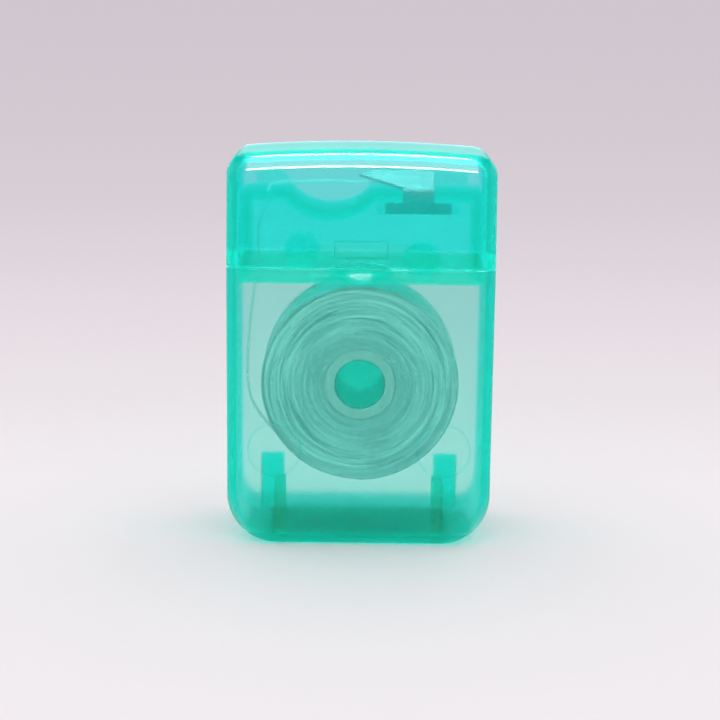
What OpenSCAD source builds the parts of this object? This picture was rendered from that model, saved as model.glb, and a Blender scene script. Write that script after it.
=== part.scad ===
// Flip-top dental floss dispenser, in millimetres.
// +Z is up, the front faces -Y, and the origin is under the middle of the base.
// A box with a lid on a living hinge, a snap-in insert that carries the steel cutter
// and the spool's spindle, and a spool of floss whose strand runs up to the cutter.

/* [Box] */
// Width of the box, side to side
body_w = 37; // [34:0.5:42]
// Depth of the box, front to back
body_d = 18; // [17.5:0.5:22]
// Height with the lid shut, at the middle of the crown
body_h = 55.5; // [54:0.5:60]
// Height of the lid, from the seam to the crown
lid_h = 16.2; // [15.6:0.2:17]
// Wall of the case
case_wall = 1.3; // [1.1:0.1:1.5]
// Floor of the case
floor_t = 1.5; // [1.2:0.1:2.5]
// Radius of the two lower corners, seen from the front
foot_r = 7; // [5:0.2:9]
// Radius of the box's long edges
edge_r = 1.5; // [1.2:0.1:2]

/* [Lid] */
// Wall of the lid
lid_wall = 1.4; // [1.2:0.1:1.6]
// Radius of the lid's upper edges
crown_r = 3; // [2.5:0.1:3.6]
// Rise of the lid's top from its ends to its middle
crown_rise = 0.6; // [0.4:0.1:1.8]
// Gap between the lid and the case when shut
seam_gap = 0.1; // [0.05:0.01:0.2]
// Width of the thumb notch across the seam
thumb_w = 8.8; // [7:0.2:11]
// Height of the arched notch in the lid
thumb_up = 1.1; // [0.8:0.1:1.6]
// Height of the dished recess in the case
thumb_down = 2.1; // [1.6:0.1:2.8]
// Depth of the dished recess at the rim of the case
thumb_depth = 0.8; // [0.5:0.05:0.9]
// Width of the living hinge
hinge_w = 16; // [10:1:24]
// Thickness of the living hinge
hinge_t = 0.35; // [0.25:0.05:0.5]
// How far the hinge web reaches above and below the seam
hinge_reach = 0.8; // [0.6:0.1:1.2]

/* [Catch] */
// Width of the pocket inside the lid's front wall
catch_w = 7.2; // [5:0.2:9]
// Height of the pocket
catch_h = 2.2; // [1.8:0.1:2.6]
// Height of the pocket's lower edge above the seam
catch_up = 1.6; // [1.4:0.1:2]
// Depth of the pocket
catch_depth = 0.6; // [0.5:0.05:0.7]
// Depth of the lead-in groove under the pocket
lead_depth = 0.35; // [0.3:0.05:0.4]
// Gap between the insert's catch and the ends of the pocket
catch_gap = 0.3; // [0.2:0.05:0.5]

/* [Insert] */
// Wall of the insert
insert_wall = 1.25; // [1:0.05:1.5]
// Thickness of the deck
deck_t = 1.5; // [1.2:0.1:1.8]
// Room between the deck's top and the middle of the lid's crown
deck_room = 4.8; // [4.2:0.1:5.4]
// Gap between the insert and the case's mouth
mouth_gap = 0.1; // [0.05:0.01:0.2]
// Gap between the insert and the lid's back wall
back_gap = 0.2; // [0.15:0.01:0.3]
// Gap that the opening lid keeps from the insert
swing_gap = 0.3; // [0.2:0.05:0.4]
// Depth of the skirt inside the case
skirt_h = 2.2; // [2:0.1:2.8]
// Radius of the snap bead on the skirt
bead_r = 0.35; // [0.2:0.05:0.4]
// Length of the snap bead
bead_l = 14; // [8:1:20]
// Place of the finger scoop's middle, to the right of the centre
scoop_x = -4.3; // [-5:0.1:-3.8]
// Width of the finger scoop at the deck
scoop_w = 11.2; // [10:0.2:12]
// Depth of the finger scoop below the deck's top
scoop_depth = 2.45; // [2:0.05:3]
// Wall under the finger scoop
scoop_wall = 1.6; // [1.2:0.1:1.8]
// Height of the fence at the back of the deck
fence_h = 2.5; // [1.5:0.1:2.8]
// Width of the notch in the fence
notch_w = 9.4; // [8:0.2:10.4]
// Diameter of the two guide bosses
boss_d = 5.1; // [4:0.1:5.4]
// Distance of each guide boss from the centre
boss_x = 8.45; // [8:0.1:9.4]
// Height of the guide bosses above the seam
boss_up = 0.7; // [0.6:0.1:1]
// Length of each guide boss
boss_l = 4.6; // [4:0.1:5.2]
// Diameter of the outlet hole for the floss
outlet_d = 1.6; // [1.2:0.1:2]
// Place of the outlet hole, left of the centre
outlet_x = 13; // [12.2:0.1:13.6]

/* [Cutter] */
// Thickness of the cutter's steel
steel_t = 0.3; // [0.2:0.05:0.4]
// Width of the cutter's stem
stem_w = 4.3; // [3.6:0.1:5]
// Place of the stem's middle, right of the centre
stem_x = 7.85; // [7.4:0.1:8.2]
// Width across the cutter's two wings
wing_w = 9.1; // [8:0.1:10]
// Height of the wings
wing_h = 1.5; // [1.2:0.1:1.8]
// Inner radius of the fold between the stem and the tongue
bend_r = 0.2; // [0.1:0.05:0.3]
// Length of the folded tongue
tongue_l = 4; // [3:0.1:4.4]
// Tilt of the tongue
tongue_tilt = 35; // [25:1:42]
// Reach of the barb beyond the stem
barb_l = 6.1; // [4:0.1:6.6]
// Gap round the steel in its slot
slot_gap = 0.05; // [0.03:0.01:0.1]

/* [Spool] */
// Outer diameter of the floss as wound
roll_d = 27.7; // [22:0.1:28]
// Gap between the roll and the case's front wall
front_gap = 1.15; // [0.6:0.05:2.4]
// Distance of the spool's axis below the seam
axis_drop = 16.6; // [16.4:0.1:17]
// Outer diameter of the core
core_d = 10; // [9.6:0.1:13]
// Diameter of the spindle
spindle_d = 6.9; // [5:0.1:7]
// Radial clearance of the core on the spindle
run_gap = 0.05; // [0.02:0.01:0.1]
// Gap between the roll and the leg that carries it
roll_gap = 0.3; // [0.2:0.05:0.5]
// Width of the leg that carries the spindle
leg_w = 9.6; // [8:0.2:12]
// Diameter of one turn of the floss
turn_d = 0.44; // [0.36:0.02:0.46]
// Turns in the outer layer
turns = 13; // [8:1:13]
// Diameter of the loose strand
strand_d = 0.4; // [0.3:0.05:0.5]

/* [Ribs] */
// Distance of the tops of the ribs and posts below the spool's axis
rib_drop = 13.4; // [13:0.2:15]
// Thickness of the front ribs
rib_t = 1.5; // [1:0.1:2]
// Distance of the front ribs from the centre
rib_x = 11.05; // [9:0.05:12]
// Depth of the front ribs
rib_d = 3; // [2:0.2:4]
// Width of the rear posts
post_w = 3.3; // [2:0.1:4]
// Distance of the rear posts from the centre
post_x = 12.75; // [11:0.05:13]
// Depth of the rear posts
post_d = 2.8; // [2:0.2:3.4]

/* [Hidden] */
fine = 96;
soft = 32;
over = 1;
touch = 0.02;

// The lid turns about the outer face of the back wall, at the seam
hinge_y = body_d / 2;
seam_z = body_h - lid_h;
lid_z = seam_z + seam_gap;
in_y = body_d / 2 - case_wall;
in_x = body_w / 2 - case_wall;
lid_in_y = body_d / 2 - lid_wall;
lid_in_x = body_w / 2 - lid_wall;
// Radius of the crown's arc across the box
crown_arc = (pow(body_w / 2 - crown_r, 2) + pow(crown_rise, 2)) / (2 * crown_rise);
// Radius that the lid's lower front edge sweeps about the hinge
sweep_r = hinge_y + lid_in_y;
front_r = sweep_r - swing_gap;
catch_r = sweep_r + lead_depth - mouth_gap;
catch_z = seam_z + catch_up;

deck_z = body_h - lid_wall - deck_room;
skirt_z = seam_z - skirt_h;
neck_x = lid_in_x - swing_gap;
neck_y = lid_in_y - back_gap;
neck_r = crown_r - lid_wall;
skirt_x = in_x - mouth_gap;
skirt_y = in_y - mouth_gap;
void_x = neck_x - insert_wall;
void_y = neck_y - insert_wall;
scoop_r = (pow(scoop_w / 2, 2) + pow(scoop_depth, 2)) / (2 * scoop_depth);
scoop_z = deck_z - scoop_depth + scoop_r;
boss_z = seam_z + boss_up;

wing_top = deck_z - deck_t;
deck_front = hinge_y - sqrt(pow(front_r - insert_wall, 2) - pow(wing_top - seam_z, 2));
stem_y = deck_front + slot_gap + steel_t / 2;
fold_y = stem_y + steel_t / 2 + bend_r;
bend_z = deck_z + slot_gap;
fold_steps = 6;

spool_z = seam_z - axis_drop;
rib_top = spool_z - rib_drop;
spindle_r = spindle_d / 2;
bore_r = spindle_r + run_gap;
roll_back = void_y - roll_gap;
roll_w = roll_back + in_y - front_gap;
// The turns are made of short straight runs, so the layers under them lie within those
turn_steps = 24;
turn_r = (roll_d - turn_d) / 2;
turn_pitch = (roll_w - turn_d) / turns;
roll_r = turn_r * cos(180 / turn_steps) - turn_d / 2 - touch;

// A plate in X and Z, from y0 to y1
module slab(y0, y1) {
    translate([0, y1, 0])
        rotate([90, 0, 0])
            linear_extrude(height = y1 - y0)
                children();
}

// A profile in Y and Z, from x0 to x1
module bar(x0, x1) {
    translate([x0, 0, 0])
        rotate([90, 0, 90])
            linear_extrude(height = x1 - x0)
                children();
}

// The box's section across its outline: flat inside, rounded at the two outer rims
module wall_section(reach, half_d, rim) {
    translate([0, -half_d])
        square([reach - rim, 2 * half_d]);
    translate([0, rim - half_d])
        square([reach, 2 * (half_d - rim)]);
    for (side = [-1, 1])
        translate([reach - rim, side * (half_d - rim)])
            circle(rim, $fn = soft);
}

// The case's form: that section swept down one side, round the feet and along the base
module tub(half_x, half_d, z0, z1, foot, rim) {
    run = half_x - foot;
    translate([-run, -half_d, z0 + foot])
        cube([2 * run, 2 * half_d, z1 - z0 - foot]);
    translate([-run, 0, z0 + foot])
        rotate([0, 90, 0])
            linear_extrude(height = 2 * run)
                wall_section(foot, half_d, rim);
    for (side = [0, 1])
        mirror([side, 0, 0])
            translate([run, 0, z0 + foot]) {
                linear_extrude(height = z1 - z0 - foot)
                    wall_section(foot, half_d, rim);
                rotate([90, 0, 0])
                    rotate_extrude(angle = -90, $fn = fine)
                        wall_section(foot, half_d, rim);
            }
}

// The lid's form: a plain rim below, a crowned top with round edges above
module dome(half_x, half_d, z0, z1, rim, round_r) {
    end_x = half_x - round_r;
    half_angle = asin(end_x / crown_arc);
    hull() {
        for (side = [-1, 1], back = [-1, 1])
            translate([side * (half_x - rim), back * (half_d - rim), z0])
                cylinder(r = rim, h = touch, $fn = soft);
        for (back = [-1, 1])
            translate([0, back * (half_d - round_r), z1 - crown_arc])
                rotate([90, 0, 0])
                    rotate([0, 0, 90 - half_angle])
                        rotate_extrude(angle = 2 * half_angle, $fn = 260)
                            translate([crown_arc - round_r, 0])
                                circle(round_r, $fn = soft);
        for (side = [-1, 1], back = [-1, 1])
            translate([side * end_x, back * (half_d - round_r), z1 - crown_rise - round_r])
                sphere(round_r, $fn = soft);
    }
}

module hinge_web(play = 0) {
    translate([-hinge_w / 2 - play, hinge_y - hinge_t - play, seam_z - hinge_reach - play])
        cube([hinge_w + 2 * play, hinge_t + play, 2 * hinge_reach + seam_gap + 2 * play]);
}

module snap_beads(r) {
    for (side = [-1, 1])
        translate([-bead_l / 2, side * skirt_y, skirt_z + skirt_h / 2])
            rotate([0, 90, 0])
                cylinder(r = r, h = bead_l, $fn = soft);
}

// The dish in the case's rim is part of a ball that stands in front of the box
module thumb_dish() {
    ring_r = (pow(thumb_w / 2, 2) + pow(thumb_down, 2)) / (2 * thumb_down);
    ring_z = seam_z - thumb_down + ring_r;
    rise = ring_z - seam_z;
    stand_off = (pow(ring_r, 2) - pow(rise, 2) - pow(thumb_depth, 2)) / (2 * thumb_depth);
    translate([0, -body_d / 2 - stand_off, ring_z])
        sphere(sqrt(pow(ring_r, 2) + pow(stand_off, 2)), $fn = fine);
}

module front_rib(side) {
    translate([side * rib_x - rib_t / 2, -in_y - touch, floor_t - touch])
        cube([rib_t, rib_d + touch, rib_top - floor_t + touch]);
}

module rear_post(side) {
    top = rib_top - post_w / 2;
    slab(in_y - post_d, in_y + touch)
        translate([side * post_x, 0]) {
            translate([-post_w / 2, floor_t - touch])
                square([post_w, top - floor_t + touch]);
            translate([0, top])
                circle(d = post_w, $fn = soft);
        }
}

module case() {
    color([0.2, 0.78, 0.7, 0.5])
        difference() {
            union() {
                difference() {
                    tub(body_w / 2, body_d / 2, 0, seam_z, foot_r, edge_r);
                    tub(in_x, in_y, floor_t, seam_z + over, foot_r - case_wall, edge_r / 2);
                }
                for (side = [-1, 1]) {
                    front_rib(side);
                    rear_post(side);
                }
            }
            snap_beads(bead_r + mouth_gap);
            hinge_web();
            thumb_dish();
        }
}

module lid() {
    arch_r = (pow(thumb_w / 2, 2) + pow(thumb_up, 2)) / (2 * thumb_up);
    color([0.2, 0.78, 0.7, 0.5])
        difference() {
            dome(body_w / 2, body_d / 2, lid_z, body_h, edge_r, crown_r);
            dome(lid_in_x, lid_in_y, lid_z - over, body_h - lid_wall, edge_r / 2, crown_r - lid_wall);
            translate([0, -lid_in_y + over, seam_z + thumb_up - arch_r])
                rotate([90, 0, 0])
                    cylinder(r = arch_r, h = lid_wall + 2 * over, $fn = fine);
            translate([-catch_w / 2, -lid_in_y - catch_depth, catch_z])
                cube([catch_w, catch_depth + over, catch_h]);
            translate([-catch_w / 2, -lid_in_y - lead_depth, lid_z - over])
                cube([catch_w, lead_depth + over, catch_up + over]);
            hinge_web();
        }
}

module living_hinge() {
    color([0.2, 0.78, 0.7, 0.5])
        hinge_web();
}

// The space inside the front sweep of the lid, r from the hinge line, above low_z
module swing_profile(r, back_y, low_z = skirt_z) {
    intersection() {
        translate([hinge_y, seam_z])
            circle(r, $fn = 2 * fine);
        translate([-body_d, low_z])
            square([body_d + back_y, body_h]);
    }
}

module scoop_profile(r) {
    translate([scoop_x, scoop_z])
        circle(r, $fn = fine);
}

// The insert's outline from the front, below the given height
module neck_outline(half_x, top) {
    translate([-half_x, skirt_z - over])
        square([2 * half_x, top - skirt_z + over]);
}

// The insert's plan, its corners as round as the lid's are at the top
module neck_plan() {
    square([2 * (neck_x - neck_r), 2 * neck_y], center = true);
    square([2 * neck_x, 2 * (neck_y - neck_r)], center = true);
    for (side = [-1, 1], back = [-1, 1])
        translate([side * (neck_x - neck_r), back * (neck_y - neck_r)])
            circle(neck_r, $fn = soft);
}

module neck() {
    difference() {
        intersection() {
            slab(-body_d, neck_y)
                neck_outline(neck_x, deck_z);
            translate([0, 0, skirt_z - over])
                linear_extrude(height = body_h)
                    neck_plan();
            bar(-neck_x, neck_x)
                swing_profile(front_r, neck_y);
        }
        difference() {
            intersection() {
                slab(-body_d, void_y)
                    neck_outline(void_x, deck_z - deck_t);
                bar(-void_x, void_x)
                    swing_profile(front_r - insert_wall, void_y, skirt_z - over);
            }
            slab(-body_d, body_d)
                scoop_profile(scoop_r + scoop_wall);
        }
    }
}

module skirt() {
    translate([0, 0, skirt_z])
        linear_extrude(height = skirt_h)
            difference() {
                offset(r = edge_r / 2 - mouth_gap, $fn = soft)
                    offset(delta = mouth_gap - edge_r / 2)
                        square([2 * skirt_x, 2 * skirt_y], center = true);
                square([2 * void_x, 2 * void_y], center = true);
            }
}

// The fence is the back wall carried up past the deck, notched behind the scoop.
// Its top follows the crown of the lid.
module fence() {
    half = neck_x - neck_r;
    slab(void_y, neck_y)
        difference() {
            intersection() {
                translate([-half, deck_z - touch])
                    square([2 * half, fence_h + touch]);
                translate([0, deck_z + fence_h - crown_arc])
                    circle(crown_arc, $fn = 4 * fine);
            }
            translate([scoop_x - notch_w / 2, deck_z - scoop_depth / 2])
                square([notch_w, fence_h + scoop_depth]);
        }
}

// The catch is rounded about the hinge line, so it just clears the lid's lead-in groove
module catch_bead() {
    half = catch_w / 2 - catch_gap;
    intersection() {
        bar(-half, half)
            difference() {
                swing_profile(catch_r, 0);
                swing_profile(front_r - insert_wall / 2, 0);
            }
        slab(-body_d, 0)
            translate([-half, catch_z + catch_gap])
                square([2 * half, catch_h - 2 * catch_gap]);
    }
}

module guide_boss(x, y0, y1) {
    translate([x, y1, boss_z])
        rotate([90, 0, 0])
            cylinder(d = boss_d, h = y1 - y0, $fn = fine);
}

module blade_pocket() {
    translate([stem_x - wing_w / 2 - insert_wall, stem_y - insert_wall, wing_top - wing_h])
        cube([wing_w + 2 * insert_wall, 2 * insert_wall, wing_h + touch]);
}

module blade_slot() {
    gap = steel_t / 2 + slot_gap;
    translate([stem_x - stem_w / 2 - slot_gap, stem_y - gap, wing_top - over])
        cube([stem_w + 2 * slot_gap, 2 * gap, deck_t + 2 * over]);
    translate([stem_x - wing_w / 2 - slot_gap, stem_y - gap, wing_top - wing_h - over])
        cube([wing_w + 2 * slot_gap, 2 * gap, wing_h + over]);
}

module leg() {
    slab(void_y, neck_y) {
        translate([0, spool_z])
            circle(d = leg_w, $fn = fine);
        translate([-leg_w / 2, spool_z])
            square([leg_w, skirt_z - spool_z + skirt_h]);
    }
}

module spindle() {
    translate([0, void_y + touch, spool_z])
        rotate([90, 0, 0])
            cylinder(r = spindle_r, h = roll_w + touch, $fn = fine);
}

module insert() {
    front_inner = hinge_y - sqrt(pow(front_r - insert_wall, 2) - pow(boss_up, 2));
    color([0.1, 0.75, 0.68, 0.7])
        difference() {
            union() {
                neck();
                skirt();
                fence();
                blade_pocket();
                catch_bead();
                guide_boss(boss_x, front_inner - touch, front_inner + boss_l);
                guide_boss(-boss_x, void_y - boss_l, void_y + touch);
                leg();
                spindle();
                snap_beads(bead_r);
            }
            slab(-body_d, neck_y + over)
                scoop_profile(scoop_r);
            blade_slot();
            translate([-outlet_x, 0, wing_top - over])
                cylinder(d = outlet_d, h = deck_t + 2 * over, $fn = soft);
        }
}

// The cutter's strip from the side: up the stem, round the fold and along the tongue
module strip_profile() {
    turn = 90 - tongue_tilt;
    step = turn / fold_steps;
    along = [cos(tongue_tilt), sin(tongue_tilt)];
    outer = [for (i = [0 : fold_steps]) [-cos(i * step), sin(i * step)] * (bend_r + steel_t)];
    inner = [for (i = [fold_steps : -1 : 0]) [-cos(i * step), sin(i * step)] * bend_r];
    foot = wing_top - wing_h - bend_z;
    translate([fold_y, bend_z])
        polygon(concat(
            [[-bend_r - steel_t, foot]],
            outer,
            [outer[fold_steps] + along * tongue_l, inner[0] + along * tongue_l],
            inner,
            [[-bend_r, foot]]
        ));
}

// One stamping: wings under the deck, a stem through it, a tongue folded back,
// and a barb that points over the scoop
module cutter() {
    stem_left = stem_x - stem_w / 2;
    stem_right = stem_x + stem_w / 2;
    tip_y = fold_y + tongue_l * cos(tongue_tilt) * 2 / 3;
    end_y = fold_y + tongue_l * cos(tongue_tilt);
    color([0.82, 0.84, 0.86]) {
        bar(stem_left, stem_right)
            strip_profile();
        slab(stem_y - steel_t / 2, stem_y + steel_t / 2)
            translate([stem_x - wing_w / 2, wing_top - wing_h])
                square([wing_w, wing_h]);
        intersection() {
            bar(stem_left - barb_l, stem_left + over)
                strip_profile();
            linear_extrude(height = bend_z + tongue_l)
                polygon([
                    [stem_left + 2 * over, fold_y],
                    [stem_left, fold_y],
                    [stem_left - barb_l, tip_y],
                    [stem_left - barb_l / 2, end_y],
                    [stem_left + 2 * over, end_y + over]
                ]);
        }
    }
}

module spool_core() {
    color([0.93, 0.93, 0.9])
        translate([0, roll_back, spool_z])
            rotate([90, 0, 0])
                difference() {
                    cylinder(d = core_d, h = roll_w, $fn = fine);
                    translate([0, 0, -over])
                        cylinder(r = bore_r, h = roll_w + 2 * over, $fn = fine);
                }
}

module floss_roll() {
    color([0.92, 0.94, 0.9])
        translate([0, roll_back, spool_z])
            rotate([90, 0, 0])
                difference() {
                    cylinder(r = roll_r, h = roll_w, $fn = fine);
                    translate([0, 0, -over])
                        cylinder(d = core_d + 2 * touch, h = roll_w + 2 * over, $fn = fine);
                }
}

// A tube of the given radius along a list of points, closed at both ends
module tube(points, r, sides) {
    n = len(points);
    function way(i) = let (v = points[min(i + 1, n - 1)] - points[max(i - 1, 0)]) v / norm(v);
    function across(i) = let (v = cross(way(i), hint)) v / norm(v);
    hint = [0, 1, 0];
    rings = [for (i = [0 : n - 1])
        let (a = across(i), b = cross(way(i), a))
            for (k = [0 : sides - 1])
                points[i] + r * (cos(360 * k / sides) * a + sin(360 * k / sides) * b)];
    sides_faces = [for (i = [0 : n - 2], k = [0 : sides - 1])
        let (p = i * sides + k, q = i * sides + (k + 1) % sides)
            each [[p, q, q + sides], [p, q + sides, p + sides]]];
    start_cap = [for (k = [1 : sides - 2]) [0, k + 1, k]];
    end_cap = [for (k = [1 : sides - 2]) [(n - 1) * sides, (n - 1) * sides + k, (n - 1) * sides + k + 1]];
    polyhedron(rings, concat(sides_faces, start_cap, end_cap));
}

// The outer layer of the roll: one unbroken helix about the spool's axis
turn_points = [for (i = [0 : turns * turn_steps])
    let (a = 360 * i / turn_steps)
        [turn_r * sin(a), roll_back - turn_d / 2 - turn_pitch * i / turn_steps, spool_z - turn_r * cos(a)]];
function far_enough(i, j) = abs(i - j) > turn_steps / 2;
turn_gap = min([for (i = [0 : turn_steps], j = [0 : 2 * turn_steps])
    if (far_enough(i, j)) norm(turn_points[i] - turn_points[j])]) - turn_d;
echo(least_gap_between_turns = turn_gap);

module floss_turns() {
    color([0.95, 0.96, 0.93])
        tube(turn_points, turn_d / 2, 6);
}

// The loose strand leaves the roll low on the left, climbs the corner behind it, goes out
// through the deck and lies across the scoop, with its end caught under the barb
side_x = 1 - in_x;
neck_side_x = 0.65 - void_x;
strand_points = [
    [-10.3, -1, spool_z - 10],
    [-11.9, -1, spool_z - 8.4],
    [-13.5, -1, spool_z - 6.6],
    [-14.8, -1, spool_z - 4.8],
    [side_x + 0.6, -0.6, spool_z - 3.2],
    [side_x + 0.2, 0.4, spool_z - 1.6],
    [side_x, 1.7, spool_z + 0.6],
    [side_x, 3, spool_z + 3.2],
    [side_x + 0.2, 4.2, spool_z + 6.7],
    [side_x + 0.6, 4.9, spool_z + 10.2],
    [neck_side_x - 0.2, 5.2, seam_z - 3.4],
    [neck_side_x, 5.2, seam_z - 0.4],
    [neck_side_x + 0.1, 4.9, seam_z + 2.6],
    [neck_side_x + 0.4, 3.6, seam_z + 5.2],
    [max(-outlet_x - 0.8, neck_side_x), 1.8, seam_z + 7],
    [-outlet_x - 0.2, 0.5, deck_z - 1.8],
    [-outlet_x, 0.1, deck_z - 1],
    [-outlet_x, 0, deck_z],
    [-outlet_x + 0.4, 0, deck_z + 0.6],
    [-outlet_x + 1.2, 0, deck_z + 0.8],
    [-8, -0.3, deck_z + 1],
    [-4, -0.7, deck_z + 1.2],
    [-1, -1, deck_z + 1.1],
    [1.6, -1.1, deck_z + 1.1]
];

module floss_strand() {
    color([0.95, 0.96, 0.93])
        tube(strand_points, strand_d / 2, 6);
}

case();
lid();
living_hinge();
insert();
cutter();
spool_core();
floss_roll();
floss_turns();
floss_strand();
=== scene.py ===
"""A flip-top dental floss dispenser: clear teal case and lid, insert, cutter and floss."""
from math import atan2, cos, hypot, pi, radians, sin, sqrt, tan

import bmesh
import bpy
from mathutils import Matrix, Vector, noise


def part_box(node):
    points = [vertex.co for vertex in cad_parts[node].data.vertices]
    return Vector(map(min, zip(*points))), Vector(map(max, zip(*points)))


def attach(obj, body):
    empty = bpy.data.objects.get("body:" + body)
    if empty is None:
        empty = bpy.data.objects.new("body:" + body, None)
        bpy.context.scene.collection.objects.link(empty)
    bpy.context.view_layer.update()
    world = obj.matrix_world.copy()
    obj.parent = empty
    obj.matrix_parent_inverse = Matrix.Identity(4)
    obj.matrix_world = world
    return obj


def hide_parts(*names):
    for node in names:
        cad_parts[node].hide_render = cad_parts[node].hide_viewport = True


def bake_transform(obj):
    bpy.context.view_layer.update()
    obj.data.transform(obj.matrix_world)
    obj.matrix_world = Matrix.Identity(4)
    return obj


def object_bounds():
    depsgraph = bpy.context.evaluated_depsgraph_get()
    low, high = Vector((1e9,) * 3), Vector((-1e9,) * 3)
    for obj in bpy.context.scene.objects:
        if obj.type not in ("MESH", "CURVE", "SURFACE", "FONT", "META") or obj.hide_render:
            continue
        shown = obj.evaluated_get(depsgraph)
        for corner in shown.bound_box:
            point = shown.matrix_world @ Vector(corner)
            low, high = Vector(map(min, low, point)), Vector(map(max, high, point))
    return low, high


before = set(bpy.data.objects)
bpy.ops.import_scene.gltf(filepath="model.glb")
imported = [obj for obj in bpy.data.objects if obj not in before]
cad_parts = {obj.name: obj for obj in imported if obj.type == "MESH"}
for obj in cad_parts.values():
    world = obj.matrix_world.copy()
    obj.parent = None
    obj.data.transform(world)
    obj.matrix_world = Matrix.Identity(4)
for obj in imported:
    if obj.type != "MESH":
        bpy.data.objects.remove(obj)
cad_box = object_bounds()
MM = 0.001


# Camera
# A short telephoto about 25 cm in front of the box, looking down on it a little.
# It leans by two thirds of a degree, as the photograph does.
LOOK_AT = Vector((0, 0, 24.8 * MM))
DISTANCE = 250 * MM
LOOK_DOWN = radians(12.25)
LEAN = radians(0.67)
IMAGE_SIZE = 720
FOCAL_PIXELS = 1748

camera = bpy.data.objects.new("camera", bpy.data.cameras.new("camera"))
bpy.context.scene.collection.objects.link(camera)
camera.data.lens = FOCAL_PIXELS / IMAGE_SIZE * camera.data.sensor_width
camera.data.clip_start = 10 * MM
camera.location = LOOK_AT + DISTANCE * Vector((0, -cos(LOOK_DOWN), sin(LOOK_DOWN)))
aim = Matrix.Rotation(pi / 2 - LOOK_DOWN, 4, "X") @ Matrix.Rotation(LEAN, 4, "Z")
camera.rotation_euler = aim.to_euler()
bpy.context.scene.camera = camera


# Case
# The lower half of a one-piece polypropylene moulding, clear teal with polished walls.
# It is open at the top, with two ribs and two posts on its floor and a thumb dish in its rim.
CASE_X, CASE_Y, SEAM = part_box("case")[1]
WALL = 1.3 * MM
FLOOR = 1.5 * MM
FOOT_R = 7 * MM
RIM_R = 1.5 * MM
ARC_STEPS = 16
ROUND_STEPS = 8
RIM_FILLET = 0.12 * MM


class Wire:
    """A socket's value in a sum: each method adds the node that works it out."""

    def __init__(self, paint, socket):
        self.paint = paint
        self.socket = socket

    def math(self, operation, *values):
        return self.paint.node("ShaderNodeMath", {"operation": operation}, *values)

    def __add__(self, other):
        return self.math("ADD", self, other)

    def __radd__(self, other):
        return self.math("ADD", other, self)

    def __sub__(self, other):
        return self.math("SUBTRACT", self, other)

    def __rsub__(self, other):
        return self.math("SUBTRACT", other, self)

    def __mul__(self, other):
        return self.math("MULTIPLY", self, other)

    def __rmul__(self, other):
        return self.math("MULTIPLY", other, self)

    def __truediv__(self, other):
        return self.math("DIVIDE", self, other)

    def __rtruediv__(self, other):
        return self.math("DIVIDE", other, self)

    def __pow__(self, other):
        return self.math("POWER", self, other)

    def __abs__(self):
        return self.math("ABSOLUTE", self)

    def above(self, limit):
        return self.math("GREATER_THAN", self, limit)

    def below(self, limit):
        return self.math("LESS_THAN", self, limit)

    def or_more(self, other):
        return self.math("MAXIMUM", self, other)


class Paint:
    """A material in the making: its shader's constants are set here, its patterns by node()."""

    def __init__(self, name, **constants):
        self.material = bpy.data.materials.new(name)
        self.material.use_nodes = True
        self.tree = self.material.node_tree
        self.shader = self.tree.nodes["Principled BSDF"]
        for socket, value in constants.items():
            self.shader.inputs[socket.replace("_", " ")].default_value = value
        self.place = self.node("ShaderNodeTexCoord", out="Object")

    def node(self, kind, settings=None, *values, out=0, **sockets):
        made = self.tree.nodes.new(kind)
        for name, value in (settings or {}).items():
            if name == "stops":
                ramp = made.color_ramp.elements
                while len(ramp) < len(value):
                    ramp.new(1)
                for element, (position, colour) in zip(ramp, value):
                    element.position = position
                    element.color = (*colour, 1)
            else:
                setattr(made, name, value)
        named = {key.replace("_", " "): value for key, value in sockets.items()}
        for key, value in [*enumerate(values), *named.items()]:
            if isinstance(value, Wire):
                self.tree.links.new(value.socket, made.inputs[key])
            else:
                made.inputs[key].default_value = value
        return Wire(self, made.outputs[out])

    def noise(self, scale, detail=2.0, roughness=0.5, place=None):
        return self.node("ShaderNodeTexNoise", None, Vector=place or self.place,
                         Scale=scale, Detail=detail, Roughness=roughness)

    def feed(self, socket, wire):
        self.tree.links.new(wire.socket, self.shader.inputs[socket])

    def bump(self, height, distance, strength=1.0):
        bent = self.node("ShaderNodeBump", None, Height=height, Distance=distance, Strength=strength)
        self.feed("Normal", bent)

    def axes(self):
        """The place in the shared frame, as three wires."""
        split = self.node("ShaderNodeSeparateXYZ", None, self.place).socket.node
        return [Wire(self, output) for output in split.outputs]

    def inside(self, low, high):
        """One inside the block from low to high, and nought outside."""
        within = 1.0
        for along, least, most in zip(self.axes(), low, high):
            within = within * along.above(least)
            within = within * along.below(most)
        return within

    def tint(self, colour, density):
        """Lets the plastic's body swallow light: density per metre, colour as what it passes."""
        body = self.node("ShaderNodeVolumeAbsorption", None, Color=(*colour, 1), Density=density)
        output = self.tree.nodes["Material Output"]
        self.tree.links.new(body.socket, output.inputs["Volume"])


PASSES = (0.0, 0.985, 0.955)
CASE_PASSES = (0.0, 0.97, 0.935)
CASE_WHITE = (1, 0.93, 0.89)
CASE_DEEP = (0.16, 0.78, 0.7)
# The lid's deep colour is the painted shade along the catch pocket's edges
LID_EDGE_SHADE = (0.2, 0.72, 0.64)
CASE_DENSITY = 400
BRACE_DENSITY = 1500
LID_DENSITY = 600
COAT = 0.35
SKIN = 1.1 * MM
DISH_HALF = 4.6 * MM
DISH_LOW = SEAM - 3 * MM
DISH_HIGH = SEAM - 0.3 * MM
DISH_DULL = 0.9


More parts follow.
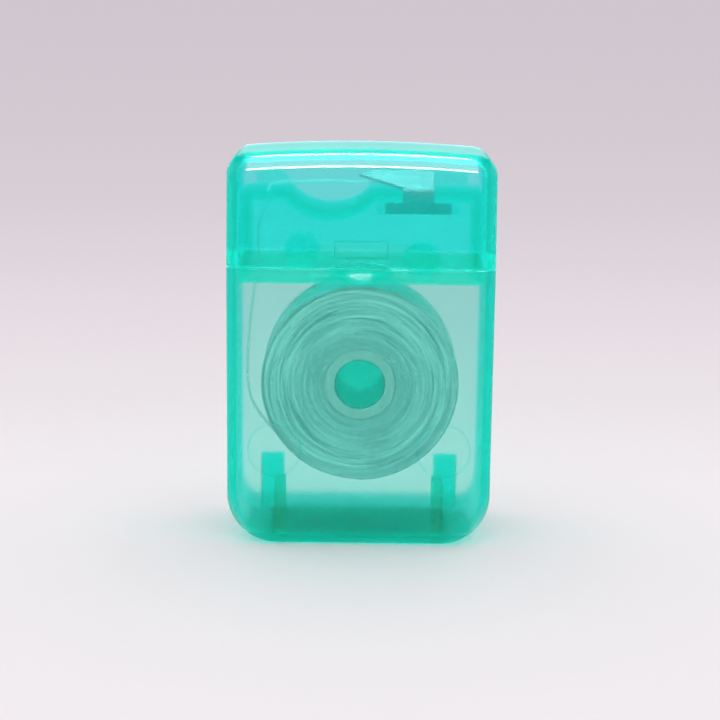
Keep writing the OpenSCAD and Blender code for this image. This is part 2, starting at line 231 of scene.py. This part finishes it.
def clear_plastic(name, density, passes=PASSES, colour=(1, 1, 1), marks=None, deep=(1, 1, 1), top=0.0):
    """Tinted polypropylene: red is swallowed in a wall or two, green and blue pass for long.

    Its bulk hardly bends the light, so thick and edge-on parts are deep in colour. The polish
    is a coat of its own, left out inside the hollow below top and dulled in the thumb dish.
    Marks is a pattern that takes the deep colour.
    """
    paint = Paint(name, IOR=1.03, Transmission_Weight=1.0, Coat_Roughness=0.03, Coat_IOR=1.5)
    inner_x, inner_y = CASE_X - SKIN, CASE_Y - SKIN
    hollow = paint.inside((-inner_x, -inner_y, MM), (inner_x, inner_y, top))
    dish = paint.inside((-DISH_HALF, -CASE_Y + 0.03 * MM, DISH_LOW), (DISH_HALF, 0, DISH_HIGH))
    paint.feed("Coat Weight", COAT - hollow.or_more(dish * DISH_DULL) * COAT)
    cloud = paint.noise(160, 3)
    paint.feed("Roughness", 0.3 + cloud * 0.2)
    flow = paint.noise(55, 1.5)
    paint.bump(flow, 0.04 * MM, 0.5)
    shade = paint.node("ShaderNodeMix", {"data_type": "RGBA"}, marks(paint) if marks else 0.0, out=2,
                       A=(*colour, 1), B=(*deep, 1))
    paint.feed("Base Color", shade)
    paint.tint(passes, density)
    return paint.material


def extend(bm, vert, place):
    """Draws the profile on from vert to place, and returns its new end."""
    drawn = bmesh.ops.extrude_vert_indiv(bm, verts=[vert])
    drawn["verts"][0].co = place
    return drawn["verts"][0]


def swing(bm, vert, centre, axis, angle, steps):
    """Draws the profile on along an arc, and returns its new end."""
    drawn = bmesh.ops.spin(bm, geom=[vert], cent=centre, axis=axis, angle=angle, steps=steps)
    return next(g for g in drawn["geom_last"] if isinstance(g, bmesh.types.BMVert))


def side_of(edge, axis, value, slack=1e-6):
    return all(abs(v.co[axis] - value) < slack for v in edge.verts)


def tub(half_x, half_y, low, high, foot, rim):
    """A block that stands on round feet, its front and back edges rounded."""
    bm = bmesh.new()
    down = (0, -1, 0)
    start = bmesh.ops.create_vert(bm, co=(-half_x, -half_y, high))["vert"][0]
    end = extend(bm, start, (-half_x, -half_y, low + foot))
    end = swing(bm, end, (foot - half_x, -half_y, low + foot), down, pi / 2, ARC_STEPS)
    end = extend(bm, end, (half_x - foot, -half_y, low))
    end = swing(bm, end, (half_x - foot, -half_y, low + foot), down, pi / 2, ARC_STEPS)
    end = extend(bm, end, (half_x, -half_y, high))
    bm.edges.new((start, end))
    plate = bmesh.ops.contextual_create(bm, geom=bm.edges)["faces"]
    pushed = bmesh.ops.extrude_face_region(bm, geom=plate, use_keep_orig=True)["geom"]
    moved = [g for g in pushed if isinstance(g, bmesh.types.BMVert)]
    bmesh.ops.translate(bm, verts=moved, vec=(0, 2 * half_y, 0))
    bmesh.ops.recalc_face_normals(bm, faces=bm.faces)
    outline = [e for e in bm.edges if not side_of(e, 2, high)
               and (side_of(e, 1, half_y) or side_of(e, 1, -half_y))]
    bmesh.ops.bevel(bm, geom=outline, offset=rim, segments=ROUND_STEPS, profile=0.5,
                    affect="EDGES", material=-1)
    return piece_of(bm, "case_shell")


def round_rim(piece, level, fillet):
    """Rounds the edges of the open rim that lies at the given height."""
    bm = bmesh.new()
    bm.from_mesh(piece.data)
    rim = [e for e in bm.edges if side_of(e, 2, level) and e.calc_face_angle(0) > radians(60)]
    bmesh.ops.bevel(bm, geom=rim, offset=fillet, segments=2, profile=0.5, affect="EDGES", material=-1)
    bm.to_mesh(piece.data)
    bm.free()


def piece_of(bm, name, finish=None, smooth=radians(40)):
    mesh = bpy.data.meshes.new(name)
    bm.to_mesh(mesh)
    bm.free()
    piece = bpy.data.objects.new(name, mesh)
    bpy.context.scene.collection.objects.link(piece)
    if finish:
        mesh.materials.append(finish)
        soften(piece, smooth)
    return piece


def soften(piece, angle=radians(40)):
    """Shades a piece smooth between its sharp edges, led by its larger faces."""
    mesh = piece.data
    mesh.shade_smooth()
    mesh.set_sharp_from_angle(angle=angle)
    weigh = piece.modifiers.new("even shading", "WEIGHTED_NORMAL")
    weigh.keep_sharp = True
    weigh.weight = 100


def fit(piece, tool, operation="DIFFERENCE"):
    """Cuts a tool's shape out of a piece, or joins it on, and drops the tool."""
    cut = piece.modifiers.new("fit", "BOOLEAN")
    cut.operation = operation
    cut.object = tool
    cut.solver = "EXACT"
    cut.use_self = False
    ready = piece.evaluated_get(bpy.context.evaluated_depsgraph_get())
    mesh = bpy.data.meshes.new_from_object(ready)
    piece.modifiers.remove(cut)
    piece.data = mesh
    bpy.data.objects.remove(tool)


def block(low, high, fillet=0.0, edges=None):
    """A closed block between two corners, its chosen edges rounded."""
    bm = bmesh.new()
    low, high = Vector(low), Vector(high)
    bmesh.ops.create_cube(bm, size=1)
    bmesh.ops.scale(bm, verts=bm.verts, vec=high - low)
    bmesh.ops.translate(bm, verts=bm.verts, vec=(low + high) / 2)
    if fillet:
        chosen = [e for e in bm.edges if edges is None or edges(e)]
        bmesh.ops.bevel(bm, geom=chosen, offset=fillet, segments=4, profile=0.5,
                        affect="EDGES", material=-1)
    return piece_of(bm, "tool")


def drum(radius, start, end, segments=96, end_radius=None):
    """A closed cylinder or cone from one point to another."""
    bm = bmesh.new()
    start, end = Vector(start), Vector(end)
    bmesh.ops.create_cone(bm, cap_ends=True, segments=segments, radius1=radius,
                          radius2=end_radius or radius, depth=(end - start).length)
    turn = (end - start).to_track_quat("Z", "Y").to_matrix().to_4x4()
    bmesh.ops.transform(bm, matrix=Matrix.Translation((start + end) / 2) @ turn, verts=bm.verts)
    return piece_of(bm, "tool")


EJECTOR_R = 3.7 * MM
EJECTOR_X = 11.8 * MM
EJECTOR_Z = 13.7 * MM
EJECTOR_LINE = 0.09 * MM
EJECTOR_SHADE = 0.5
COVE_HIGH = 3.2 * MM
COVE_LOW = 2 * MM


def case_marks(paint):
    """What is painted in the case: its floor, a cove at the back, and the ejector pins' thin rings.

    The floor looks thicker in the photograph than this one is, so it is painted deeper.
    """
    along, depth, up = paint.axes()
    floor = up.below(FLOOR + 0.1 * MM)
    cove = paint.node("ShaderNodeMapRange", None, Value=up, From_Min=COVE_HIGH, From_Max=COVE_LOW)
    cove = cove * depth.above(2 * MM)
    side = abs(along) - EJECTOR_X
    off = ((side ** 2 + (up - EJECTOR_Z) ** 2) ** 0.5) - EJECTOR_R
    ring = abs(off).below(EJECTOR_LINE)
    ring = ring * depth.below(0.0) * EJECTOR_SHADE
    return floor.or_more(cove).or_more(ring)


TINTED = clear_plastic("teal_polypropylene", CASE_DENSITY, CASE_PASSES, CASE_WHITE, case_marks,
                       CASE_DEEP, SEAM - 0.2 * MM)

case = tub(CASE_X, CASE_Y, 0, SEAM, FOOT_R, RIM_R)
fit(case, tub(CASE_X - WALL, CASE_Y - WALL, FLOOR, SEAM + MM, FOOT_R - WALL, RIM_R / 2))
round_rim(case, SEAM, RIM_FILLET)

# The ribs and posts of the case look denser than its walls, so they are a piece of their own
RIB_TOP = 9.3 * MM
RIB_X = 11.05 * MM
RIB_HALF = 0.75 * MM
RIB_REACH = 3.0 * MM
RIB_FILLET = 0.3 * MM
POST_X = 12.75 * MM
POST_HALF = 1.65 * MM
POST_REACH = 2.8 * MM
POST_FILLET = 1.5 * MM
SUNK = 0.3 * MM
INNER_Y = CASE_Y - WALL


def rib(side):
    """A rib on the floor against the front wall, sunk into both a little."""
    foot = -INNER_Y - SUNK
    return block((side * RIB_X - RIB_HALF, foot, FLOOR - SUNK),
                 (side * RIB_X + RIB_HALF, RIB_REACH - INNER_Y, RIB_TOP), RIB_FILLET,
                 lambda e: side_of(e, 2, RIB_TOP) and not side_of(e, 1, foot))


def post(side):
    """A round-topped post on the floor against the back wall."""
    return block((side * POST_X - POST_HALF, INNER_Y - POST_REACH, FLOOR - SUNK),
                 (side * POST_X + POST_HALF, INNER_Y + SUNK, RIB_TOP), POST_FILLET,
                 lambda e: side_of(e, 2, RIB_TOP) and not side_of(e, 0, e.verts[0].co.x))


braces = rib(-1)
for brace in (post(-1), rib(1), post(1)):
    fit(braces, brace, "UNION")
braces.name = "case_braces"
braces.data.materials.append(clear_plastic("teal_thick", BRACE_DENSITY, top=SEAM))
soften(braces)
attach(braces, "box")
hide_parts("case")

# The thumb dish is part of a ball that stands in front of the box
THUMB_W = 8.8 * MM
THUMB_DOWN = 2.1 * MM
THUMB_DEPTH = 0.8 * MM
ring = (THUMB_W ** 2 / 4 + THUMB_DOWN ** 2) / (2 * THUMB_DOWN)
rise = ring - THUMB_DOWN
stand_off = (ring ** 2 - rise ** 2 - THUMB_DEPTH ** 2) / (2 * THUMB_DEPTH)
bm = bmesh.new()
bmesh.ops.create_icosphere(bm, subdivisions=6, radius=hypot(ring, stand_off))
bmesh.ops.translate(bm, verts=bm.verts, vec=(0, -CASE_Y - stand_off, SEAM + rise))
fit(case, piece_of(bm, "tool"))

# The insert's beads snap into these two grooves
BEAD_HALF = 7 * MM
BEAD_DOWN = 1.1 * MM
GROOVE_R = 0.45 * MM
for side in (-1, 1):
    groove_y = side * (INNER_Y - 0.1 * MM)
    groove = drum(GROOVE_R, (-BEAD_HALF, groove_y, SEAM - BEAD_DOWN),
                  (BEAD_HALF, groove_y, SEAM - BEAD_DOWN), 24)
    fit(case, groove)

web_low, web_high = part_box("living_hinge")
fit(case, block(web_low, web_high + Vector((0, WALL, 0))))
case.data.materials.append(TINTED)
soften(case)
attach(case, "box")
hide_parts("case")


# Lid
# The upper half of the same moulding: a crowned cap with wide round edges.
# Its front wall has the arched thumb notch and, inside, the catch's pocket and lead-in groove.
lid_low, lid_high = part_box("lid")
LID_WALL = 1.4 * MM
CROWN_R = 3 * MM
CROWN_RISE = 0.6 * MM
SLICES = 24


def dome(half_x, half_y, low, high, rim, round_r):
    """A round-edged block whose top is an arc from side to side."""
    bm = bmesh.new()
    bmesh.ops.create_cube(bm, size=1)
    bmesh.ops.scale(bm, verts=bm.verts, vec=(2 * half_x, 2 * half_y, high - low))
    bmesh.ops.translate(bm, verts=bm.verts, vec=(0, 0, (low + high) / 2))
    edges = [e for e in bm.edges if not side_of(e, 2, low)]
    bmesh.ops.bevel(bm, geom=edges, offset=round_r, segments=ROUND_STEPS, profile=0.5,
                    affect="EDGES", material=-1)
    end_x = half_x - round_r
    for step in range(1, SLICES):
        bmesh.ops.bisect_plane(bm, geom=[*bm.verts, *bm.edges, *bm.faces], dist=1e-7,
                               plane_co=((2 * step / SLICES - 1) * end_x, 0, 0), plane_no=(1, 0, 0))
    arc = (end_x ** 2 + CROWN_RISE ** 2) / (2 * CROWN_RISE)
    near = 1e-6
    for v in bm.verts:
        if v.co.z > high - round_r - near:
            v.co.z -= arc - sqrt(arc ** 2 - min(abs(v.co.x), end_x) ** 2)
        elif abs(v.co.x) > end_x - near and abs(v.co.y) > half_y - round_r - near:
            for axis, half in ((0, half_x), (1, half_y)):
                inward = (half - abs(v.co[axis])) * rim / round_r
                v.co[axis] = (half - inward) * (1 if v.co[axis] > 0 else -1)
    return piece_of(bm, "lid_shell")


lid = dome(lid_high.x, lid_high.y, lid_low.z, lid_high.z, RIM_R, CROWN_R)
fit(lid, dome(lid_high.x - LID_WALL, lid_high.y - LID_WALL, lid_low.z - MM, lid_high.z - LID_WALL,
              RIM_R / 2, CROWN_R - LID_WALL))
round_rim(lid, lid_low.z, RIM_FILLET)

lid_inner = lid_high.y - LID_WALL
THUMB_UP = 1.1 * MM
FLARE = 0.45 * MM
arch = (THUMB_W ** 2 / 4 + THUMB_UP ** 2) / (2 * THUMB_UP)
arch_z = SEAM + THUMB_UP - arch
fit(lid, drum(arch + FLARE / 2, (0, -CASE_Y - LID_WALL / 2, arch_z),
              (0, -lid_inner + LID_WALL / 2, arch_z), 240, arch - FLARE))
CATCH_HALF = 3.6 * MM
CATCH_LOW = SEAM + 1.6 * MM
CATCH_H = 2.2 * MM
CATCH_DEEP = 0.6 * MM
LEAD_DEEP = 0.35 * MM
CATCH_LINE = 0.1 * MM
CATCH_SHADE = 0.6
fit(lid, block((-CATCH_HALF, -lid_inner - CATCH_DEEP, CATCH_LOW),
               (CATCH_HALF, -lid_inner + MM, CATCH_LOW + CATCH_H)))
fit(lid, block((-CATCH_HALF, -lid_inner - LEAD_DEEP, SEAM - MM),
               (CATCH_HALF, -lid_inner + MM, CATCH_LOW + 0.01 * MM)))
fit(lid, block(web_low, web_high + Vector((0, LID_WALL, 0))))


def catch_edge_shade(paint):
    """The edges of the catch's pocket show through the front wall as a thin frame of painted shade."""
    along, depth, up = paint.axes()
    side = abs(along) - CATCH_HALF
    rise = abs(up - CATCH_LOW - CATCH_H / 2) - CATCH_H / 2
    edge = abs(side.or_more(rise)).below(CATCH_LINE)
    return edge * depth.below(0.0) * CATCH_SHADE


lid.data.materials.append(clear_plastic("teal_lid", LID_DENSITY, marks=catch_edge_shade, deep=LID_EDGE_SHADE,
                                        top=lid_high.z - SKIN))
soften(lid)
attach(lid, "flip_lid")
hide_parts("lid")


# Living hinge
# The thin web that joins case and lid across the seam at the back.
# It is the same moulding, coined thin; the real one bends as the lid turns, and this one is cut in
# slices along its height.
WEB_PLAY = 0.02 * MM
WEB_SLICES = 16
bm = bmesh.new()
bmesh.ops.create_cube(bm, size=1)
web_size = web_high - web_low - Vector((2, 1, 2)) * WEB_PLAY
bmesh.ops.scale(bm, verts=bm.verts, vec=web_size)
bmesh.ops.translate(bm, verts=bm.verts, vec=(web_low + web_high + Vector((0, WEB_PLAY, 0))) / 2)
for step in range(1, WEB_SLICES):
    level = web_low.z + WEB_PLAY + web_size.z * step / WEB_SLICES
    bmesh.ops.bisect_plane(bm, geom=[*bm.verts, *bm.edges, *bm.faces], dist=1e-7,
                           plane_co=(0, 0, level), plane_no=(0, 0, 1))
web = piece_of(bm, "hinge_web", TINTED)

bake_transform(web)
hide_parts("living_hinge")


# Insert
# The second moulding, pressed into the case's mouth until its beads snap into their grooves.
# Deck, finger scoop, fence, catch, guide bosses, skirt, and the leg with the spindle are one piece.
def merged_copy(name, node, finish, fillet, segments=2):
    """A copy of a CAD node, its loose triangles joined and its sharp edges rounded."""
    bm = bmesh.new()
    bm.from_mesh(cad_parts[node].data)
    bmesh.ops.remove_doubles(bm, verts=bm.verts, dist=0.002 * MM)
    bmesh.ops.dissolve_limit(bm, angle_limit=radians(0.5), verts=bm.verts, edges=bm.edges)
    piece = piece_of(bm, name, finish)
    worn = piece.modifiers.new("round edges", "BEVEL")
    worn.width = fillet
    worn.segments = segments
    worn.limit_method = "ANGLE"
    worn.angle_limit = radians(38)
    piece.modifiers.move(1, 0)
    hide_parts(node)
    return piece


SKIRT_SOFT = 0.3 * MM
SKIRT_COVER = 0.5
DECK_COVER = 0.08


def clear_insert(name):
    """The insert's plastic: the same tint, cloudier in the skirt, where the walls are thickest."""
    paint = Paint(name, Base_Color=(0.0, 0.8, 0.68, 1), IOR=1.49, Specular_IOR_Level=0.15)
    cloud = paint.noise(120, 3)
    paint.feed("Roughness", 0.12 + cloud * 0.1)
    up = paint.axes()[2]
    cover = paint.node("ShaderNodeMapRange", None, Value=up, From_Min=SEAM - SKIRT_SOFT, From_Max=SEAM,
                       To_Min=SKIRT_COVER, To_Max=DECK_COVER)
    paint.feed("Alpha", cover)
    paint.tint(PASSES, LID_DENSITY)
    return paint.material


INSERT_EDGE = 0.1 * MM
insert = merged_copy("insert_moulding", "insert", clear_insert("teal_insert"), INSERT_EDGE)
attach(insert, "box")


# Cutter
# One stamping of thin stainless strip: wings under the deck, a stem through it,
# a folded tongue and a barb.
def rolled_steel(name):
    """Stainless strip with the fine grain of the rolling mill along it."""
    paint = Paint(name, Base_Color=(0.5, 0.52, 0.53, 1), Metallic=1.0)
    brushed = paint.node("ShaderNodeMapping", None, paint.place, Scale=(400, 9000, 9000))
    grain = paint.noise(1.0, 2, 0.5, brushed)
    paint.feed("Roughness", 0.28 + grain * 0.16)
    paint.bump(grain, 0.004 * MM, 0.4)
    return paint.material


CUTTER_EDGE = 0.05 * MM
cutter = merged_copy("cutter_strip", "cutter", rolled_steel("rolled_stainless"), CUTTER_EDGE)
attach(cutter, "box")


# Spool core
# A plain moulded ring that turns on the insert's spindle. The floss is wound on it.
core_low, core_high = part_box("spool_core")
AXLE = Vector((0, 0, (core_low.z + core_high.z) / 2))
CORE_R = core_high.x
BORE_R = 3.5 * MM


def lathe(profile, steps):
    """Turns a closed outline of radius and depth about the spool's axis."""
    bm = bmesh.new()
    ends = [bmesh.ops.create_vert(bm, co=(radius, depth, AXLE.z))["vert"][0]
            for radius, depth in profile]
    loop = [bm.edges.new((ends[i - 1], ends[i])) for i in range(len(ends))]
    bmesh.ops.spin(bm, geom=[*ends, *loop], cent=AXLE, axis=(0, 1, 0), angle=2 * pi, steps=steps,
                   use_merge=True)
    bmesh.ops.recalc_face_normals(bm, faces=bm.faces)
    return bm


def satin_plastic(name):
    """The core's satin plastic, toned so that it stands out no more than the photograph allows."""
    # The white plastic is painted a dim teal grey: painted shade and teal light deep in the box
    paint = Paint(name, Base_Color=(0.42, 0.55, 0.52, 1), Roughness=0.45)
    fine = paint.noise(900, 3)
    paint.feed("Roughness", 0.4 + fine * 0.15)
    paint.bump(fine, 0.01 * MM, 0.5)
    return paint.material


CHAMFER = 0.12 * MM
front, back = core_low.y, core_high.y
rim_of_core = [
    (BORE_R, front + CHAMFER), (BORE_R + CHAMFER, front), (CORE_R - CHAMFER, front),
    (CORE_R, front + CHAMFER), (CORE_R, back - CHAMFER), (CORE_R - CHAMFER, back),
    (BORE_R + CHAMFER, back), (BORE_R, back - CHAMFER),
]
core = piece_of(lathe(rim_of_core, 72), "core_ring", satin_plastic("white_polypropylene"))
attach(core, "spool")
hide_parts("spool_core")


# Floss
# Waxed nylon thread, close wound in even layers. The end faces show the edges of the layers,
# and the outer layer runs round in one long helix.
roll_low, roll_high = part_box("floss_roll")
THREAD = 0.44 * MM
RIDGE = 0.1 * MM
RIDGE_STEPS = 4
PLY_R = 0.215 * MM
TURN_R = 13.63 * MM
ROLL_R = TURN_R - PLY_R / 2
ROLL_STEPS = 128
DENT = 0.12 * MM
FLOSS_SMOOTH = radians(60)


RINGS_PER_METRE = 2400
RING_MEAN = 0.42
RINGS_FROM = 6 * MM
RINGS_FULL = 10.5 * MM
# Both colours are darker and more teal than the thread: painted shade and teal light for its place
# deep in the box
SHADED = (0.17, 0.38, 0.36)
LIT = (0.62, 0.8, 0.77)


def waxed_nylon(name, dark=SHADED, light=LIT, rings=0.0, alpha=1.0):
    """Off-white thread, painted in teal shade. Where the layers show edge on, painted rings of light
    and shade follow them.
    """
    paint = Paint(name, Roughness=0.5, Sheen_Weight=0.1, Alpha=alpha)
    if rings:
        along, _, up = paint.axes()
        rise = up - AXLE.z
        away = (along ** 2 + rise ** 2) ** 0.5
        turned = paint.node("ShaderNodeCombineXYZ", None, along / away, away * rings, rise / away)
        level = paint.noise(1.0, 4, 0.6, turned)
        outer = paint.node("ShaderNodeMapRange", None, Value=away, From_Min=RINGS_FROM,
                           From_Max=RINGS_FULL, To_Min=0.25, To_Max=1.0)
        level = RING_MEAN + (level - RING_MEAN) * outer
    else:
        level = 0.45 + (paint.noise(700, 2) - 0.5) * 0.3
    stops = [(0.33, dark), (0.67, light)]
    paint.feed("Base Color", paint.node("ShaderNodeValToRGB", {"stops": stops}, level))
    paint.bump(level, 0.05 * MM, 0.6)
    return paint.material


def wound_face(depth, out, radii):
    """The end face of the roll as an outline: one low ridge for each layer of thread."""
    return [(r, depth - out * RIDGE * (1 - abs(sin(pi * (r - CORE_R) / THREAD))))
            for r in radii]


count = round((ROLL_R - CORE_R) / THREAD * RIDGE_STEPS)
radii = [CORE_R + (ROLL_R - CORE_R) * i / count for i in range(count + 1)]
outline = wound_face(roll_low.y, -1, radii) + wound_face(roll_high.y, 1, radii)[::-1]
bm = lathe(outline, ROLL_STEPS)
for v in bm.verts:
    away = Vector((v.co.x, 0, v.co.z - AXLE.z))
    angle = atan2(away.x, away.z)
    lump = noise.noise(Vector((away.length * 700, cos(angle) * 1.5, sin(angle) * 1.5 + v.co.y * 500)))
    inward = 1 if v.co.y < 0 else -1
    v.co.y += inward * DENT * max(0.0, lump)
layered = waxed_nylon("waxed_nylon_layers", rings=RINGS_PER_METRE)
roll = piece_of(bm, "wound_layers", layered, FLOSS_SMOOTH)
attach(roll, "spool")
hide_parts("floss_roll")

TURNS = 27
TURN_STEPS = 48
run = roll_high.y - roll_low.y - 2 * PLY_R
bm = bmesh.new()
bmesh.ops.create_circle(bm, cap_ends=False, segments=8, radius=PLY_R)
bmesh.ops.rotate(bm, verts=bm.verts, cent=(0, 0, 0), matrix=Matrix.Rotation(pi / 2, 3, "Y"))
bmesh.ops.translate(bm, verts=bm.verts, vec=(0, roll_high.y - PLY_R, AXLE.z - TURN_R))
bmesh.ops.spin(bm, geom=[*bm.verts, *bm.edges], cent=AXLE, axis=(0, 1, 0), angle=2 * pi * TURNS,
               steps=TURNS * TURN_STEPS, dvec=(0, -run / (TURNS * TURN_STEPS), 0))
bmesh.ops.holes_fill(bm, edges=[e for e in bm.edges if e.is_boundary], sides=0)
bmesh.ops.recalc_face_normals(bm, faces=bm.faces)
wound = piece_of(bm, "outer_turns", waxed_nylon("waxed_nylon"), FLOSS_SMOOTH)
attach(wound, "spool")
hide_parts("floss_turns")

# The loose end climbs the rear left corner and crosses the scoop; its points are in millimetres
STRAND_R = 0.2 * MM
STRAND = [
    (-10.3, -1, 12.7), (-11.9, -1, 14.3), (-13.5, -1, 16.1), (-14.8, -1, 17.9), (-15.6, -0.6, 19.5),
    (-16, 0.4, 21.1), (-16.2, 1.7, 23.3), (-16.2, 3, 25.9), (-16, 4.2, 29.4), (-15.6, 4.9, 32.9),
    (-15.1, 5.2, 35.9), (-14.9, 5.2, 38.9), (-14.8, 4.9, 41.9), (-14.5, 3.6, 44.5), (-13.8, 1.8, 46.3),
    (-13.2, 0.5, 47.5), (-13, 0.1, 48.3), (-13, 0, 49.3), (-12.6, 0, 49.9), (-11.8, 0, 50.1),
    (-8, -0.3, 50.3), (-4, -0.7, 50.5), (-1, -1, 50.4), (1.6, -1.1, 50.4),
]
route = bpy.data.curves.new("loose_strand", "CURVE")
route.dimensions = "3D"
route.bevel_depth = STRAND_R
route.bevel_resolution = 2
route.use_fill_caps = True
line = route.splines.new("BEZIER")
line.bezier_points.add(len(STRAND) - 1)
for knot, place in zip(line.bezier_points, STRAND):
    knot.co = Vector(place) * MM
    knot.handle_left_type = "AUTO"
    knot.handle_right_type = "AUTO"
strand = bpy.data.objects.new("loose_strand", route)
bpy.context.scene.collection.objects.link(strand)
# The strand's colours are dimmed and tinted teal: painted shade and teal light from the walls round it
single = waxed_nylon("waxed_nylon_single", (0.6, 0.75, 0.72), (0.8, 0.95, 0.92), alpha=0.5)
route.materials.append(single)
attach(strand, "box")
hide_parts("floss_strand")


# Stage
# A pale seamless sweep: the floor runs far back, and its colour pales towards the camera as painted
# light.
bm = bmesh.new()
bmesh.ops.create_grid(bm, x_segments=1, y_segments=1, size=15)
floor = piece_of(bm, "floor")
sweep = Paint("sweep", Roughness=0.6, Specular_IOR_Level=0.0)
# Darker far back and paler near the camera: painted fall-off of the light with distance
FLOOR_STOPS = [
    (0.0, (0.614, 0.555, 0.602)), (0.241, (0.628, 0.576, 0.620)), (0.403, (0.664, 0.615, 0.656)),
    (0.61, (0.752, 0.698, 0.736)), (0.802, (0.805, 0.762, 0.782)), (0.98, (0.885, 0.836, 0.858)),
]
FLOOR_NEAR = 0.244
depth = sweep.axes()[1]
away = sweep.node("ShaderNodeMapRange", None, Value=1 / (depth + FLOOR_NEAR), From_Min=0.24,
                  From_Max=3.8)
sweep.feed("Base Color", sweep.node("ShaderNodeValToRGB", {"stops": FLOOR_STOPS}, away))
floor.data.materials.append(sweep.material)

# The room is dark in front, where the camera stands, and bright above and behind
FRONT_WALL = 0.6
BACK_WALL = 1.2
world = bpy.data.worlds.new("studio")
world.use_nodes = True
room = world.node_tree
facing = room.nodes.new("ShaderNodeTexCoord")
parts = room.nodes.new("ShaderNodeSeparateXYZ")
room.links.new(facing.outputs["Generated"], parts.inputs[0])
walls = room.nodes.new("ShaderNodeMapRange")
room.links.new(parts.outputs["Y"], walls.inputs["Value"])
for socket, value in (("From Min", -0.9), ("From Max", 0.1),
                      ("To Min", FRONT_WALL), ("To Max", BACK_WALL)):
    walls.inputs[socket].default_value = value
backdrop = room.nodes["Background"]
backdrop.inputs["Color"].default_value = (1, 0.985, 1, 1)
room.links.new(walls.outputs[0], backdrop.inputs["Strength"])
bpy.context.scene.world = world

# The lamps stand in an arc round the lid's front edge, which mirrors them as one long highlight
EDGE = Vector((0, 8 * MM - CASE_Y, cad_box[1].z))
REACH = 300 * MM
BOX_WIDTH = 165 * MM


def softbox(name, low_angle, high_angle, width, glow):
    """A lamp that only shows mirrored in gloss: its angles stand up from the front horizon."""
    middle = radians(low_angle + high_angle) / 2
    half = radians(high_angle - low_angle) / 2
    lamp = bpy.data.lights.new(name, "AREA")
    lamp.shape = "RECTANGLE"
    lamp.size = width
    lamp.size_y = 2 * REACH * tan(half)
    lamp.energy = glow * pi * lamp.size * lamp.size_y
    holder = bpy.data.objects.new(name, lamp)
    bpy.context.scene.collection.objects.link(holder)
    holder.location = EDGE + REACH * Vector((0, -cos(middle), sin(middle)))
    holder.rotation_euler = (EDGE - holder.location).to_track_quat("-Z", "Y").to_euler()
    holder.visible_diffuse = False
    holder.visible_transmission = False


softbox("top_light", 28, 105, BOX_WIDTH, 10)
softbox("low_rim", 25, 31, BOX_WIDTH, 150)
softbox("high_rim", 101, 107, BOX_WIDTH, 150)

bpy.context.scene.view_settings.view_transform = "Standard"
